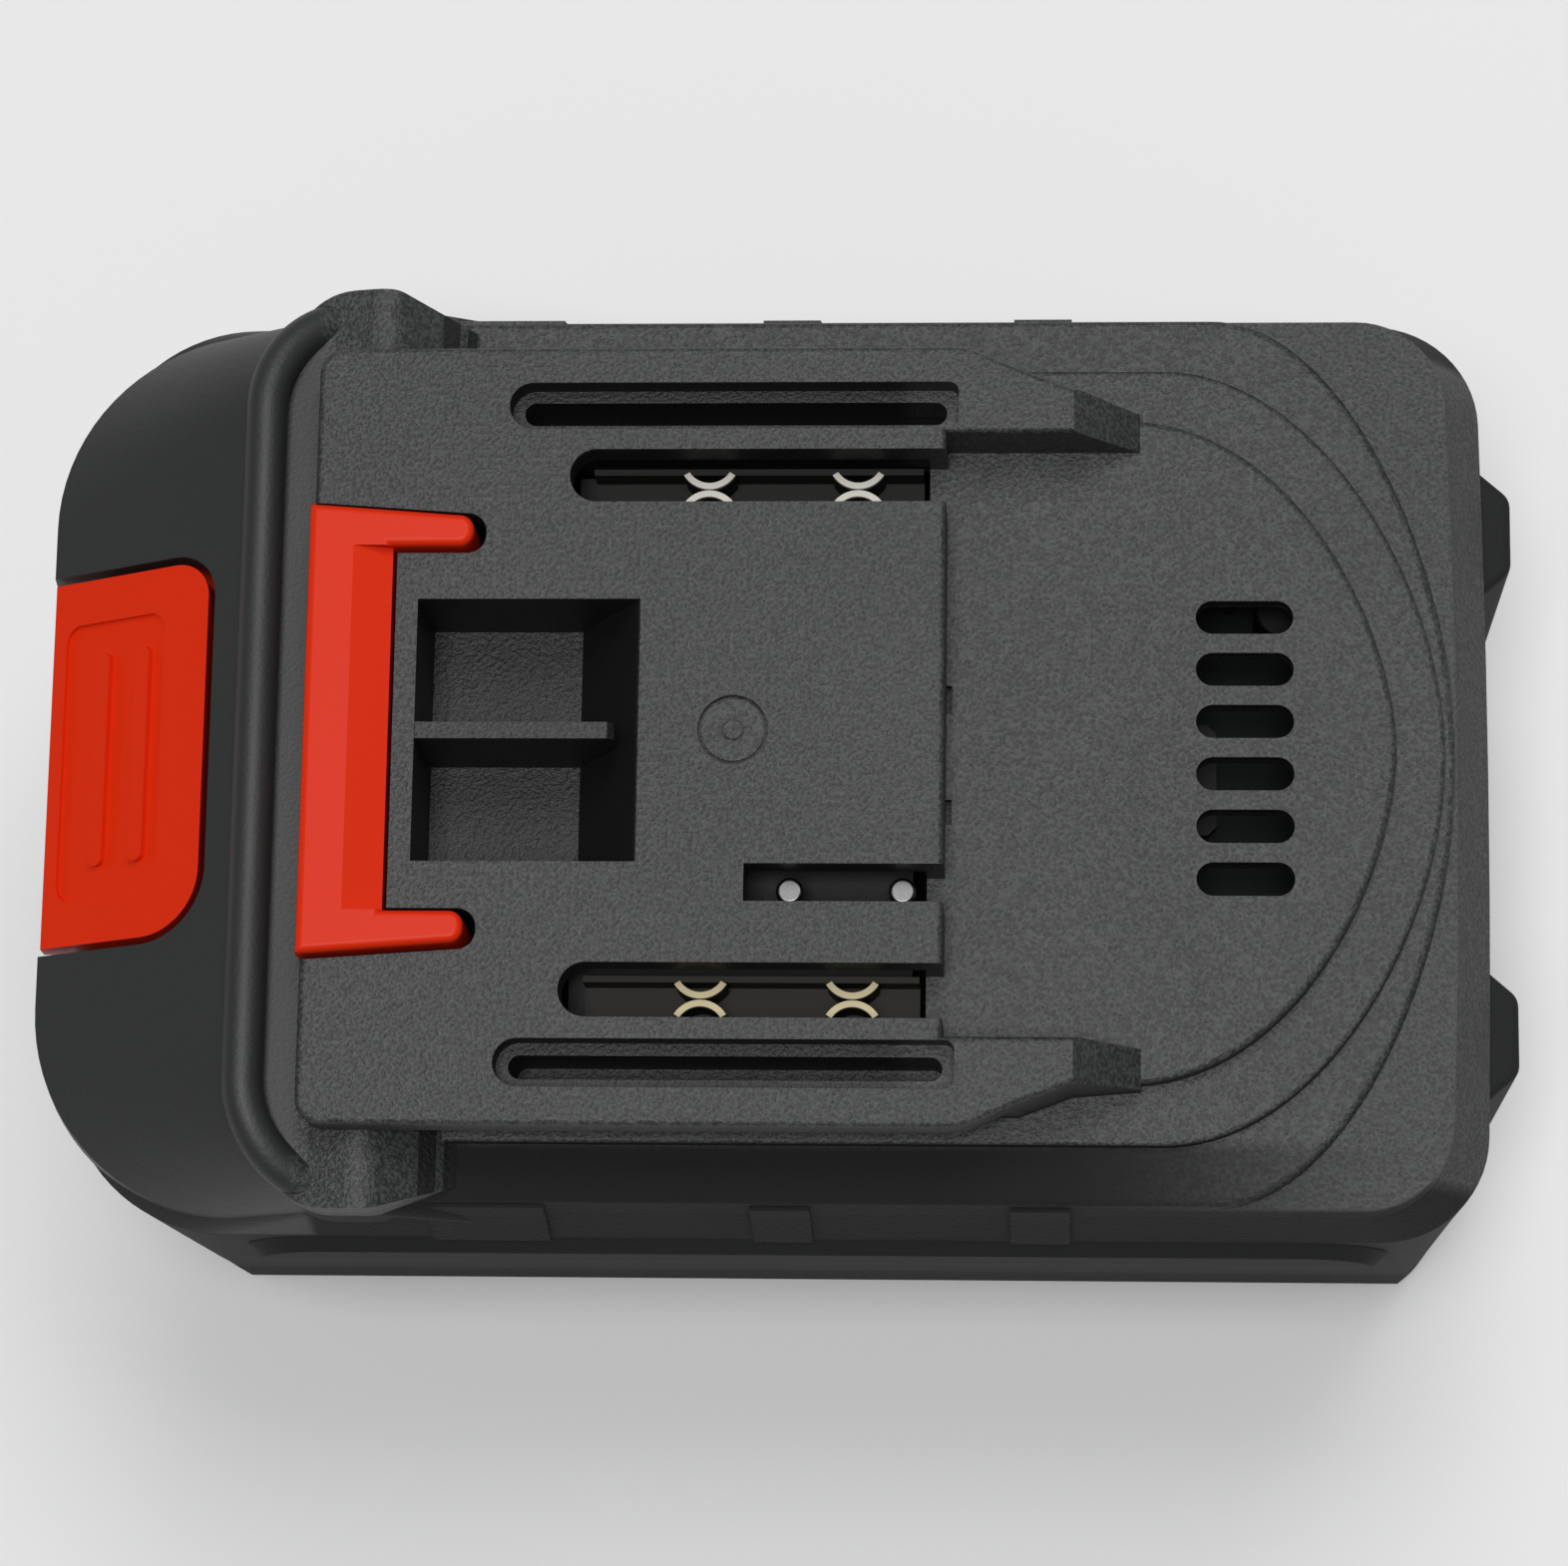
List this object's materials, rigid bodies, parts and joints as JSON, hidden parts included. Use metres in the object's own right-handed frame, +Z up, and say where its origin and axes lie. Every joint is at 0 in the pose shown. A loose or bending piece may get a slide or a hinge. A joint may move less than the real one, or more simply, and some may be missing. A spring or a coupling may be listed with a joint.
{
  "type": "power tool battery pack",
  "caption": "Slide-on battery pack with a stepped rail plate, slotted terminals, red latch hook and sprung release button.",
  "frame": {"origin": "centre of the bounding box at the resting face", "axes": "+X from the release button to the vents, +Y across the rails to the left of that, +Z up from the resting face"},
  "size_m": [0.1176, 0.0766, 0.0652],
  "materials": {
    "case_black": "fine-textured glass-filled nylon",
    "latch_red": "satin moulded plastic",
    "screw_steel": "black zinc",
    "spring_steel": "drawn wire",
    "cell_wrap": "shrink sleeve over a steel can",
    "nickel": "rolled strip",
    "holder_plastic": "moulded",
    "insulation_paper": "fibre sheet",
    "foam": "closed-cell foam",
    "board_green": "solder mask",
    "chip_black": "moulded",
    "shunt_copper": "bare strip",
    "capacitor_can": "sleeved can",
    "terminal_plastic": "moulded",
    "terminal_brass": "bare sheet",
    "contact_silver": "plated"
  },
  "bodies": {
    "pack": {"upper_case": "case_black", "lower_case": "case_black", "case_screws": "screw_steel", "cell_01": "cell_wrap", "cell_02": "cell_wrap", "cell_03": "cell_wrap", "cell_04": "cell_wrap", "cell_05": "cell_wrap", "cell_06": "cell_wrap", "cell_07": "cell_wrap", "cell_08": "cell_wrap", "cell_09": "cell_wrap", "cell_10": "cell_wrap", "cell_holder_left": "holder_plastic", "cell_holder_right": "holder_plastic", "nickel_strip_left_front": "nickel", "nickel_strip_left_middle": "nickel", "nickel_strip_left_rear": "nickel", "nickel_strip_right_front": "nickel", "nickel_strip_right_middle": "nickel", "nickel_strip_right_rear": "nickel", "insulation_sheet_left": "insulation_paper", "insulation_sheet_right": "insulation_paper", "base_pad": "foam", "circuit_board": "board_green", "control_chip": "chip_black", "current_shunt": "shunt_copper", "power_transistors": "chip_black", "smoothing_capacitor": "capacitor_can", "thermistor": "chip_black", "terminal_block": "terminal_plastic", "positive_terminal": "terminal_brass", "negative_terminal": "terminal_brass", "signal_contacts": "contact_silver", "latch_spring_left": "spring_steel", "latch_spring_right": "spring_steel"},
    "latch": {"release_latch": "latch_red"}
  },
  "joints": [
    {"name": "latch_slide", "type": "slide", "parent": "pack", "child": "latch", "axis": [0, 0, -1], "range_m": [0, 0.005], "stiffness_N_per_m": 1500, "springref_m": -0.002, "deforming": ["latch_spring_left", "latch_spring_right"]}
  ]
}
